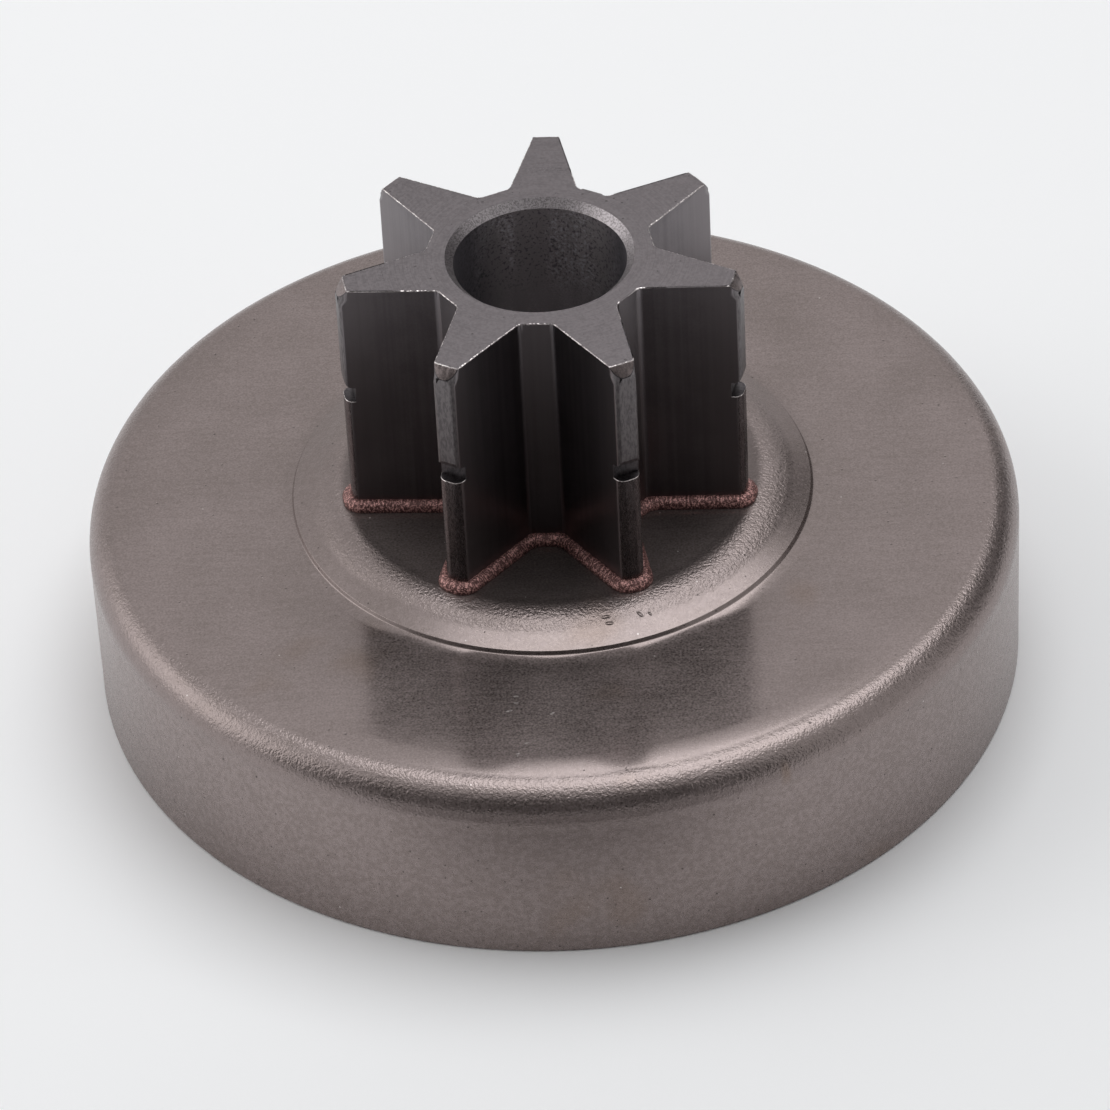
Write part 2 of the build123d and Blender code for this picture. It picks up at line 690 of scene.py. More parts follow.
@dataclass(frozen=True)
class SatinSteel(Finish):
    """Satin skin of the drawn cup: part mirror and part matt, with orange peel at the bends.

    Its roughness is the matt part's. Lengths are in millimetres.

    Attributes:
        mirror: Roughness of the mirroring part.
        matt_share: Share of the light that the matt part returns.
        pit: Colour of the pits, and of the painted shade round the braze.
        fleck: Colour of the bright flecks and scratches.
        stain: Colour of the brown stains.
        peel_depth: Depth of the orange peel.
        boss_bend: Radii between which the boss bends.
        cone: Radii between which the boss slopes.
        shoulder_start: Radius at which the shoulder starts.
        wall_top: Height below which the wall is plain.
        braze_shade: Radii over which the skin round the braze is painted darker, a painted shade by the
            sprocket's foot.
        dents: Dents in the boss's slope.
        scratches: Short bright scratches on the face.
        smudge: Brown stain under the shoulder.
    """

    name: str = "satin_steel"
    light: Colour = (0.336, 0.280, 0.270)
    dark: Colour = (0.285, 0.236, 0.224)
    roughness: float = 0.58
    mirror: float = 0.14
    matt_share: float = 0.42
    pit: Colour = (0.06, 0.05, 0.047)
    fleck: Colour = (0.72, 0.66, 0.64)
    stain: Colour = (0.26, 0.19, 0.15)
    peel_depth: float = 0.085
    boss_bend: tuple[float, float] = (17.2, 19.2)
    cone: tuple[float, float] = (18.6, 21.4)
    shoulder_start: float = 35.6
    wall_top: float = 14.0
    braze_shade: tuple[float, float] = (17.7, 16.9)
    dents: tuple[Mark, ...] = (
        Mark(3.75, -18.6, 0.95, 0.36, 10.0),
        Mark(4.0, -19.15, 0.9, 0.36, 5.0),
        Mark(6.5, -18.3, 0.85, 0.32, -40.0),
        Mark(7.3, -18.2, 0.5, 0.25, -45.0),
    )
    scratches: tuple[Mark, ...] = (
        Mark(-3.76, -26.1, 0.55, 0.26),
        Mark(-3.78, -26.9, 0.55, 0.26),
        Mark(-4.35, -27.85, 0.75, 0.26, 15.0),
        Mark(-0.95, -28.4, 0.55, 0.26, 35.0),
        Mark(-3.1, -31.8, 0.45, 0.2, 10.0),
        Mark(-3.8, -33.0, 0.4, 0.2),
    )
    smudge: Mark = Mark(17.2, -34.4, 1.3, 1.2)

    def material(self) -> bpy.types.Material:
        """Makes the finish's material.

        Returns:
            The material.
        """
        nodes = Nodes(self.name)
        radius, height = nodes.radius(), nodes.height()
        wall = height.rising(self.wall_top, self.wall_top - 1.5)
        shoulder = radius.rising(self.shoulder_start, self.shoulder_start + 1.2) * (1 - wall)
        bends = (radius.band(*self.boss_bend, 0.9) * 0.9 + shoulder).least(1.0)
        soft = (radius.band(*self.cone, 0.3) + wall).least(1.0)
        braze_shade = radius.rising(*self.braze_shade)
        cloud = nodes.noise(0.13, 3.0)
        mottle = nodes.noise(2.2, 3.0)
        grain = nodes.noise(5.5, 3.0)
        brush = nodes.noise(2.6, 2.0, nodes.place((0.12, 1.0, 1.0)))
        worms = nodes.noise(3.6) * 0.6 + nodes.noise(7.0) * 0.4
        pits = nodes.specks(1.5, 0.18)
        flecks = nodes.specks(0.8, 0.09)
        smudge = nodes.ellipse(self.smudge).rising(1.0, 0.2) * (1 - wall)
        stains = nodes.noise(0.09).rising(0.63, 0.74) * 0.3 + smudge * 0.5
        tone = cloud * 0.25 + mottle * 0.35 + grain * 0.3 + brush * 0.1 + wall * 0.8 * (mottle - 0.5)
        relief = worms * self.peel_depth * bends + grain * (0.0022 + 0.004 * soft) - pits * 0.012
        for scratch in self.scratches:
            flecks = flecks + nodes.ellipse(scratch).rising(1.0, 0.5)
        for dent in self.dents:
            relief = relief - nodes.ellipse(dent).rising(1.0, 0.2) * 0.07
        # Painted shade: the skin round the braze is mixed halfway to the pits' colour.
        colour = nodes.mix(braze_shade * 0.5, self.tint(nodes, tone, 0.37, 0.63), self.pit)
        colour = nodes.mix(stains, colour, self.stain)
        colour = nodes.mix(pits * 0.7, colour, self.pit)
        colour = nodes.mix(flecks.least(1.0) * 0.8, colour, self.fleck)
        share = self.matt_share + (grain - 0.5) + 0.2 * (brush - 0.5) + 0.4 * (cloud - 0.5)
        share = share + 0.33 * braze_shade - 0.15 * wall
        normal = nodes.relief(relief)
        sharp, wide = (
            nodes.surface(colour, roughness, Metallic=1.0, Normal=normal)
            for roughness in (self.mirror + 0.11 * soft, self.roughness)
        )
        return nodes.end(nodes.make("ShaderNodeMixShader", None, {0: share, 1: sharp, 2: wide}))


class LighterTowards(Enum):
    """Where drawn steel turns lighter."""

    TIPS = "towards the tooth tips"
    FREE_END = "towards the free end"


@dataclass(frozen=True)
class DrawnSteel(Finish):
    """Dark skin of the drawn bar, with faint lines along it.

    Attributes:
        paler: The colour that it turns towards.
        lighter_towards: Where it turns lighter.
        line_depth: Depth of the lines in millimetres.
    """

    paler: Colour
    lighter_towards: LighterTowards
    line_depth: float = 0.0004

    def material(self) -> bpy.types.Material:
        """Makes the finish's material.

        Returns:
            The material.
        """
        nodes = Nodes(self.name)
        lines = nodes.noise(2.2, 3.0, nodes.place((1.0, 1.0, 0.012)))
        fine = nodes.noise(6.0)
        tone = lines * 0.5 + nodes.noise(0.4) * 0.3 + fine * 0.2
        # The colour turns lighter towards the tooth tips or towards the free end.
        if self.lighter_towards is LighterTowards.TIPS:
            paler = nodes.radius().rising(11.5, 16.6)
        else:
            paler = nodes.height().rising(22.0, 41.0)
        colour = nodes.mix(paler * (0.6 + lines * 0.4), self.tint(nodes, tone, 0.38, 0.62), self.paler)
        height = lines * self.line_depth + fine * 0.001
        return nodes.metal(colour, self.roughness + 0.08 * (fine - 0.5), height)


@dataclass(frozen=True)
class TurnedFace(Finish):
    """End face of the sprocket, turned in fine rings.

    Attributes:
        pit: Colour of the pits.
        ring_depth: Depth of the rings in millimetres.
    """

    name: str = "turned_face"
    light: Colour = (0.216, 0.193, 0.199)
    dark: Colour = (0.172, 0.154, 0.159)
    roughness: float = 0.36
    pit: Colour = (0.06, 0.05, 0.05)
    ring_depth: float = 0.0005

    def material(self) -> bpy.types.Material:
        """Makes the finish's material.

        Returns:
            The material.
        """
        nodes = Nodes(self.name)
        across = {"X": nodes.radius(), "Y": nodes.noise(0.5) * 0.25}
        rings = nodes.noise(8.0, 2.0, nodes.make("ShaderNodeCombineXYZ", None, across))
        grain = nodes.noise(5.0, 3.0)
        pits = nodes.specks(1.6, 0.24)
        colour = nodes.mix(pits * 0.6, self.tint(nodes, rings * 0.45 + grain * 0.55, 0.38, 0.62), self.pit)
        height = rings * self.ring_depth + grain * 0.0025 - pits * 0.01
        return nodes.metal(colour, self.roughness + 0.3 * (grain - 0.5), height)


@dataclass(frozen=True)
class BurrWithPaintedGlint(Finish):
    """Turned-over edge of bare metal, its colour made brighter than steel as a painted glint, broken here
    and there.
    """

    name: str = "burr_painted_glint"
    light: Colour = (0.86, 0.80, 0.78)
    dark: Colour = (0.36, 0.32, 0.32)
    roughness: float = 0.3

    def material(self) -> bpy.types.Material:
        """Makes the finish's material.

        Returns:
            The material.
        """
        nodes = Nodes(self.name)
        broken = nodes.noise(1.1) * 0.5 + nodes.noise(5.0, 1.0) * 0.5
        colour = self.tint(nodes, broken, 0.38, 0.60)
        return nodes.metal(colour, self.roughness + 0.2 * (broken - 0.5), broken * 0.03)


@dataclass(frozen=True)
class MottledSteel(Finish):
    """Mottled grey of tip lands, bevels, groove and bore bevel, drawn out along the axis.

    Attributes:
        depth: Depth of its relief in millimetres.
        per_mm: Number of spots in a millimetre.
        streak: How short the spots are along the axis, where 1 is round.
    """

    roughness: float = 0.42
    depth: float = 0.004
    per_mm: float = 3.6
    streak: float = 0.5

    def material(self) -> bpy.types.Material:
        """Makes the finish's material.

        Returns:
            The material.
        """
        nodes = Nodes(self.name)
        place = nodes.place((1.0, 1.0, self.streak))
        fine = nodes.noise(self.per_mm * 2.2, 2.0, place)
        pattern = nodes.noise(self.per_mm, 3.0, place) * 0.6 + fine * 0.4
        colour = self.tint(nodes, pattern, 0.40, 0.58)
        return nodes.metal(colour, self.roughness + 0.3 * (fine - 0.5), pattern * self.depth)


@dataclass(frozen=True)
class BoredSteel(Finish):
    """Bore of the sprocket, speckled light and dark in its upper part, with its bright specks there as
    painted light from above, and painted shade at its left and right sides.

    Attributes:
        speck_and_shade: Colour of the dark specks, and of the painted shade at the sides.
        bright: Colour of the bright specks, painted light in the upper part.
        metallic: Share of metal.
    """

    name: str = "bore_wall"
    light: Colour = (0.62, 0.565, 0.58)
    dark: Colour = (0.46, 0.42, 0.43)
    roughness: float = 0.45
    speck_and_shade: Colour = (0.07, 0.067, 0.08)
    bright: Colour = (0.85, 0.84, 0.88)
    metallic: float = 0.6

    def material(self) -> bpy.types.Material:
        """Makes the finish's material.

        Returns:
            The material.
        """
        nodes = Nodes(self.name)
        across = nodes.part(nodes.place(), "X")
        # Painted shade: the bore's sides to the left and right, along X.
        sides = across.rising(4.4, 6.8) + across.rising(-2.6, -6.0)
        upper = nodes.height().rising(30.5, 34.5)
        speckle = nodes.noise(4.0, 3.0)
        fine = nodes.noise(8.0)
        cloud = nodes.noise(0.35, 2.0, nodes.place((1.0, 1.0, 0.3)))
        # Painted light: bright specks only in the upper part, where light falls from above.
        bright = speckle.rising(0.53, 0.64) * cloud.rising(0.38, 0.5) * upper * 0.7
        colour = nodes.mix(bright, self.tint(nodes, fine * 0.4 + cloud * 0.6, 0.4, 0.6), self.bright)
        colour = nodes.mix(speckle.rising(0.46, 0.36) * upper * 0.6, colour, self.speck_and_shade)
        colour = nodes.mix(sides * 0.85, colour, self.speck_and_shade)
        return nodes.metal(colour, self.roughness + 0.3 * (fine - 0.5), fine * 0.006, self.metallic)


@dataclass(frozen=True)
class Braze(Finish):
    """Copper braze, grainy like a rope, with painted shade where it meets the boss.

    Attributes:
        foot: Colour of the painted shade beside the boss.
        metallic: Share of metal.
        depth: Depth of the wrinkles in millimetres.
    """

    name: str = "copper_braze"
    light: Colour = (0.84, 0.46, 0.42)
    dark: Colour = (0.13, 0.06, 0.056)
    roughness: float = 0.36
    foot: Colour = (0.07, 0.038, 0.036)
    metallic: float = 0.5
    depth: float = 0.11

    def material(self) -> bpy.types.Material:
        """Makes the finish's material.

        Returns:
            The material.
        """
        nodes = Nodes(self.name)
        run = nodes.make("ShaderNodeUVMap", {"uv_map": "run"})
        stretched = nodes.make("ShaderNodeMapping", None, {"Vector": run, "Scale": (1.0, 0.6, 1.0)})
        fine = nodes.noise(9.0)
        pattern = nodes.noise(5.8, 2.0, stretched) * 0.5 + fine * 0.5
        # Painted shade: the bead darkens towards its foot on the boss.
        shade_by_boss = nodes.part(run, "Y").rising(0.32, 0.02)
        colour = nodes.mix(shade_by_boss * 0.7, self.tint(nodes, pattern, 0.46, 0.62), self.foot)
        return nodes.metal(colour, self.roughness + 0.4 * (fine - 0.5), pattern * self.depth, self.metallic)


@dataclass
class DrumCup:
    """The deep-drawn cup.

    Attributes:
        outer_radius: Radius of the wall outside.
        inner_radius: Radius of the wall inside.
        boss_top: Height of the boss's flat top.
        roll_start: Radius from which the face falls towards the shoulder.
        roll_slope: Slope of that fall, in degrees.
        inside_rounding: Radius of the corner inside.
        step_radius: Radius of the step round the boss.
        step_lean: How far the step leans to each side.
        foot_width: Width of the soft rise before the step.
        foot_rise: Height of that rise.
        boss_rounding: Radius of the boss's bend outside.
        bend_rounding: Radius of the bends under the boss.
    """

    outer_radius: float
    inner_radius: float
    boss_top: float
    hole_radius: float = 8.9 * MM
    face_height: float = 16.4 * MM
    face_thickness: float = 2.4 * MM
    shoulder_rounding: float = 2.7 * MM
    roll_start: float = 34.6 * MM
    roll_slope: float = 5.0
    roll_rounding: float = 25.0 * MM
    inside_rounding: float = 1.2 * MM
    rim_break: float = 0.25 * MM
    boss_flat_radius: float = 18.03 * MM
    step_radius: float = 21.43 * MM
    step_height: float = 0.45 * MM
    step_lean: float = 0.07 * MM
    step_foot_rounding: float = 0.15 * MM
    step_edge_rounding: float = 0.07 * MM
    foot_width: float = 0.67 * MM
    foot_rise: float = 0.14 * MM
    foot_rounding: float = 4.5 * MM
    boss_rounding: float = 5.0 * MM
    bend_rounding: float = 3.0 * MM

    def section(self) -> list[Ring]:
        """Lays out the cup's section.

        Returns:
            Its corners, from the rim up, over the face and back inside.
        """
        inside = self.face_height - self.face_thickness
        under_boss = self.boss_top - self.face_thickness
        fall = (self.outer_radius - self.roll_start) * math.tan(math.radians(self.roll_slope))
        step_foot = self.face_height + self.foot_rise
        step_edge = self.face_height + self.step_height
        return [
            Ring(self.outer_radius, 0.0, self.rim_break, 2),
            Ring(self.outer_radius, self.face_height - fall, self.shoulder_rounding, 18),
            Ring(self.roll_start, self.face_height, self.roll_rounding, 8),
            Ring(self.step_radius + self.foot_width, self.face_height, self.foot_rounding, 6),
            Ring(self.step_radius + self.step_lean, step_foot, self.step_foot_rounding, 4),
            Ring(self.step_radius - self.step_lean, step_edge, self.step_edge_rounding, 3),
            Ring(self.boss_flat_radius, self.boss_top, self.boss_rounding, 12),
            Ring(self.hole_radius, self.boss_top),
            Ring(self.hole_radius, under_boss),
            Ring(self.boss_flat_radius, under_boss, self.bend_rounding, 6),
            Ring(self.step_radius, inside, self.bend_rounding, 6),
            Ring(self.inner_radius, inside, self.inside_rounding, 6),
            Ring(self.inner_radius, 0.0, self.rim_break, 2),
        ]

    def build(self) -> bpy.types.Object:
        """Makes and dresses the cup.

        Returns:
            The finished piece.
        """
        work = turned("steel_cup", self.section(), 320)
        work.smooth()
        work.dress([SatinSteel()])
        return work.piece


class Spot(IntEnum):
    """Part of the sprocket's skin that has a finish of its own. Its value is the slot."""

    FLANK = 0
    END_FACE = 1
    UPPER_LAND = 2
    TIP_BEVEL = 3
    BORE = 4
    LOWER_LAND = 5
    BURR = 6
    GROOVE = 7
    ROOT = 8
    BORE_BEVEL = 9


@dataclass
class SpurSprocket:
    """The seven-tooth spur: a drawn bar, turned on a lathe.

    Attributes:
        bottom: Height of the spigot's end.
        boss_top: Height at which the teeth start.
        top: Height of the free end.
        form: Section of the bar above the groove.
        lower_tip_rounding: Radius at the tips' edges below the groove.
        flare: Depth below the free end and tip rounding of each plate that the upper bar grows to.
        flare_depth: Depth below the free end at which the tips start to grow rounder.
        groove_lip: Radius of the groove's upper lip.
        lip_steps: Number of faces across that lip.
        burr_width: Width of the burr round the free end.
        lip_burr_width: Width of the burr on the groove's lower lip.
        facet_edge_width: Width of the strip along the facets at the tips, painted dark as a shade line.
        burr_steps: Number of faces across a burr.
        burr_profile: Shape of a burr, where 0.5 is round.
        unevenness: How far the burrs' corners stray.
        clearance: How far a turned cut starts outside the tips.
        spare: Length of bar under the spigot that is cut away.
        sorting_point: Point off the axis, by the distance from which the mesh is sorted.
    """

    bottom: float
    boss_top: float
    top: float
    bore_radius: float
    form: ToothForm = ToothForm()
    spigot_radius: float = 8.85 * MM
    lower_tip_rounding: float = 0.75 * MM
    flare: tuple[tuple[float, float], ...] = ((0.95 * MM, 0.98 * MM), (-0.1 * MM, 1.06 * MM))
    flare_depth: float = 1.5 * MM
    tip_bevel_height: float = 0.95 * MM
    tip_bevel_width: float = 0.7 * MM
    top_bore_bevel: float = 0.65 * MM
    bottom_bore_bevel: float = 0.5 * MM
    groove_above_boss: float = 11.05 * MM
    groove_width: float = 1.4 * MM
    groove_depth: float = 0.8 * MM
    groove_lip: float = 0.6 * MM
    lip_steps: int = 6
    burr_width: float = 0.08 * MM
    lip_burr_width: float = 0.07 * MM
    facet_edge_width: float = 0.05 * MM
    burr_steps: int = 3
    burr_profile: float = 0.6
    unevenness: float = 0.02 * MM
    clearance: float = 0.6 * MM
    spare: float = 0.5 * MM
    sorting_point: tuple[float, float, float] = (100 * MM, 37 * MM, 200 * MM)

    @property
    def groove_bottom(self) -> float:
        """Height of the groove's lower wall."""
        return self.boss_top + self.groove_above_boss

    @property
    def groove_floor(self) -> float:
        """Radius of the groove's floor."""
        return self.form.tip_radius - self.groove_depth

    @property
    def bore_edge(self) -> float:
        """Radius of the bore's upper bevel at the free end."""
        return self.bore_radius + self.top_bore_bevel

    def turned_blank(self) -> Workpiece:
        """Turns the solid that the toothed bar is cut back to.

        Returns:
            The turned piece.
        """
        clear = self.form.tip_radius + self.clearance
        groove_top = self.groove_bottom + self.groove_width
        lip_top = groove_top + self.groove_lip
        bevel_slope = self.tip_bevel_height / self.tip_bevel_width
        bevel_start = self.top - self.tip_bevel_height - (clear - self.form.tip_radius) * bevel_slope
        lip = [
            Ring(
                self.form.tip_radius - self.groove_lip * (1 - math.sin(angle)),
                lip_top - self.groove_lip * math.cos(angle),
            )
            for angle in (math.radians(90 / self.lip_steps * step) for step in range(self.lip_steps + 1))
        ]
        rings = [
            Ring(self.bore_radius + self.bottom_bore_bevel, self.bottom),
            Ring(self.spigot_radius, self.bottom),
            Ring(self.spigot_radius, self.boss_top),
            Ring(clear, self.boss_top),
            Ring(clear, self.groove_bottom),
            Ring(self.groove_floor, self.groove_bottom),
            Ring(self.groove_floor, groove_top),
            *lip,
            Ring(clear, lip_top),
            Ring(clear, bevel_start),
            Ring(self.form.tip_radius - self.tip_bevel_width, self.top),
            Ring(self.bore_edge, self.top),
            Ring(self.bore_radius, self.top - self.top_bore_bevel),
            Ring(self.bore_radius, self.bottom + self.bottom_bore_bevel),
        ]
        return turned("turned_blank", rings)

    def toothed_length(
        self, name: str, rounding: float, low: float, high: float, flare: Sequence[tuple[float, float]] = ()
    ) -> Workpiece:
        """Makes a length of the toothed bar, cut back to the turned blank.

        Args:
            name: Name of the piece.
            rounding: Radius at the edges of its tips.
            low: Height of its lower end.
            high: Height of its upper end, before it is flared.
            flare: Depth below the free end and tip rounding of each plate that it grows on to.

        Returns:
            The solid length.
        """
        bar = raised(toothed_plate(name, replace(self.form, tip_rounding=rounding)), low, high)
        for depth, wider in flare:
            plate = toothed_plate("flare_plate", replace(self.form, tip_rounding=wider))
            plate.piece.data.transform(Matrix.Translation((0, 0, self.top - depth)))
            bar.absorb(plate)
            with bar.editing(Element.FACES):
                bar.pick(Element.FACES, lambda face: abs(face.calc_center_median().z - high) < NEAR)
                bpy.ops.mesh.delete(type="ONLY_FACE")
                bar.pick(Element.EDGES, lambda edge: edge.is_boundary)
                bpy.ops.mesh.bridge_edge_loops()
            high = self.top - depth
        bar.close_doubles()
        bar.combine(self.turned_blank(), Cut.KEEP_SHARED)
        return bar

    def build(self) -> bpy.types.Object:
        """Makes and dresses the sprocket.

        Returns:
            The finished piece.
        """
        middle = self.groove_bottom + self.groove_width / 2
        flare_start = self.top - self.flare_depth
        work = self.toothed_length("toothed_spur", self.lower_tip_rounding, self.bottom - self.spare, middle)
        upper = self.toothed_length("upper_bar", self.form.tip_rounding, middle, flare_start, self.flare)
        work.absorb(upper)
        with work.editing(Element.FACES):
            work.pick(Element.FACES, lambda face: abs(face.calc_center_median().z - middle) < NEAR)
            bpy.ops.mesh.delete(type="FACE")
        work.close_doubles()
        with work.editing(Element.FACES):
            self.put_in_order()
            self.divide_end_face(work)
            self.raise_burrs(work)
        work.smooth()
        finishes = self.finishes()
        work.dress([finishes[spot] for spot in Spot], self.spot_of)
        return work.piece

    def put_in_order(self) -> None:
        """Sorts corners, edges and faces by place, so that each run draws the same burrs."""
        bpy.ops.mesh.select_all(action="SELECT")
        bpy.context.scene.cursor.location = self.sorting_point
        bpy.ops.mesh.sort_elements(type="CURSOR_DISTANCE", elements={"VERT", "EDGE", "FACE"})
        bpy.context.scene.cursor.location = (0, 0, 0)

    def divide_end_face(self, work: Workpiece) -> None:
        """Divides the outline of the end face finely and fills it afresh.

        Args:
            work: The sprocket, in edit mode.
        """
        work.pick(
            Element.FACES,
            lambda face: face.normal.z > 0.9 and abs(face.calc_center_median().z - self.top) < NEAR,
        )
        bpy.ops.mesh.delete(type="FACE")
        divide_sides(work, self.burr_width)
        work.pick(Element.EDGES, lambda edge: edge.is_boundary)
        bpy.ops.mesh.fill(use_beauty=True)

    def on_outline(self, edge: bmesh.types.BMEdge) -> bool:
        """Whether an edge lies on the outline of the end face."""
        outside = level(edge, self.top) and min(ends_away(edge)) > self.bore_edge + NEAR
        return outside and any(face.normal.z < 0.99 for face in edge.link_faces)

    def on_lip(self, edge: bmesh.types.BMEdge) -> bool:
        """Whether an edge lies on the groove's lower lip."""
        outside = level(edge, self.groove_bottom) and min(ends_away(edge)) > self.groove_floor - NEAR
        return outside and any(
            abs(face.normal.z) < 0.1 and face.calc_center_median().z < self.groove_bottom
            for face in edge.link_faces
        )

    def on_facet(self, edge: bmesh.types.BMEdge) -> bool:
        """Whether an edge lies between the bevel on the tips and a facet under it.

        Args:
            edge: An edge of the sprocket.

        Returns:
            True for such an edge.
        """
        corner = edge.verts[0].co
        if len(edge.link_faces) != 2 or corner.z < self.top - self.tip_bevel_height - NEAR:
            return False
        low, high = sorted(face.normal.z for face in edge.link_faces)
        return abs(low) < 0.45 and 0.5 < high < 0.7 and corner.xy.length > self.groove_floor

    def raise_burrs(self, work: Workpiece) -> None:
        """Turns the outline of the end face and the groove's lower lip into uneven burrs.

        Args:
            work: The sprocket, in edit mode.
        """
        work.bevel(Element.EDGES, self.on_outline, self.burr_width, self.burr_steps, self.burr_profile)
        work.bevel(Element.EDGES, self.on_lip, self.lip_burr_width, self.burr_steps, self.burr_profile)
        work.bevel(Element.EDGES, self.on_facet, self.facet_edge_width)
        lowest = self.top - self.burr_width * 1.1
        work.pick(
            Element.CORNERS,
            lambda corner: lowest < corner.co.z < self.top - NEAR / 2
            and corner.co.xy.length > self.bore_edge + NEAR,
        )
        bpy.ops.transform.vertex_random(offset=self.unevenness, uniform=0.5, normal=0.0, seed=7)
        work.pick(Element.CORNERS, lambda corner: corner.co.z > self.top)
        bpy.ops.transform.resize(value=(1, 1, 0), center_override=(0, 0, self.top))
        work.pick(
            Element.EDGES,
            lambda edge: level(edge, self.top) and any(face.normal.z < 0.998 for face in edge.link_faces),
        )
        bpy.ops.mesh.mark_sharp()

    def finishes(self) -> dict[Spot, Finish]:
        """The finish of each part of the skin."""
        return {
            Spot.FLANK: DrawnSteel(
                "drawn_flank",
                (0.19, 0.173, 0.181),
                (0.152, 0.138, 0.145),
                0.3,
                (0.21, 0.19, 0.196),
                LighterTowards.TIPS,
            ),
            Spot.ROOT: DrawnSteel(
                "drawn_root",
                (0.118, 0.107, 0.112),
                (0.096, 0.087, 0.09),
                0.3,
                (0.17, 0.154, 0.159),
                LighterTowards.FREE_END,
            ),
            Spot.END_FACE: TurnedFace(),
            Spot.UPPER_LAND: MottledSteel(
                "tip_land", (0.2, 0.184, 0.187), (0.13, 0.119, 0.122), 0.4, 0.009, per_mm=5.0, streak=0.3
            ),
            Spot.LOWER_LAND: MottledSteel(
                "lower_land", (0.17, 0.15, 0.152), (0.118, 0.104, 0.106), 0.27, per_mm=4.2, streak=0.3
            ),
            Spot.TIP_BEVEL: MottledSteel(
                "turned_bevel", (0.30, 0.25, 0.243), (0.2, 0.168, 0.165), depth=0.005, per_mm=5.5
            ),
            # Painted shade: the groove, the faces turned downwards and the strips beside the facets are
            # dark.
            Spot.GROOVE: MottledSteel("groove_floor", (0.12, 0.108, 0.112), (0.07, 0.063, 0.066)),
            Spot.BURR: BurrWithPaintedGlint(),
            Spot.BORE: BoredSteel(),
            Spot.BORE_BEVEL: MottledSteel(
                "bore_bevel", (0.44, 0.405, 0.415), (0.22, 0.2, 0.205), depth=0.008, per_mm=7.0, streak=1.0
            ),
        }

    def spot_of(self, polygon: bpy.types.MeshPolygon) -> Spot:
        """The part of the skin that a face belongs to.

        Args:
            polygon: A face of the sprocket.

        Returns:
            Its part. The groove's faces, the faces turned downwards and the small strips beside the facets
            take the groove's dark colour, a painted shade.
        """
        centre, normal = polygon.center, polygon.normal
        away = centre.xy.length
        faces_out = normal.dot(Vector((*centre.xy.normalized(), 0)))
        by_free_end = centre.z > self.top - 1.2 * self.tip_bevel_height
        on_floor = self.groove_floor - NEAR < away < self.groove_floor + NEAR
        if away < self.bore_edge:
            return Spot.BORE if abs(normal.z) < 0.1 else Spot.BORE_BEVEL
        if centre.z > self.top - self.burr_width * 1.05:
            return Spot.END_FACE if normal.z > 0.98 and centre.z > self.top - NEAR else Spot.BURR
        if abs(centre.z - self.groove_bottom) < self.lip_burr_width * 1.05 and away > self.groove_floor:
            return Spot.GROOVE if normal.z > 0.98 else Spot.BURR
        if by_free_end and normal.z > 0.5:
            return Spot.TIP_BEVEL
        # Painted shade: the small strips beside the facets go dark.
        if by_free_end and normal.z > 0.3 and polygon.area < 0.03 * MM**2:
            return Spot.GROOVE
        # Painted shade: the groove's floor and the faces turned downwards go dark.
        if centre.z > self.boss_top + NEAR and (normal.z < -0.1 or on_floor):
            return Spot.GROOVE
        if away > self.groove_floor - NEAR and faces_out > 0.6:
            return Spot.UPPER_LAND if centre.z > self.groove_bottom + self.groove_width else Spot.LOWER_LAND
        if away < self.form.root_flat_radius * 1.1 and faces_out > 0.9:
            return Spot.ROOT
        return Spot.FLANK


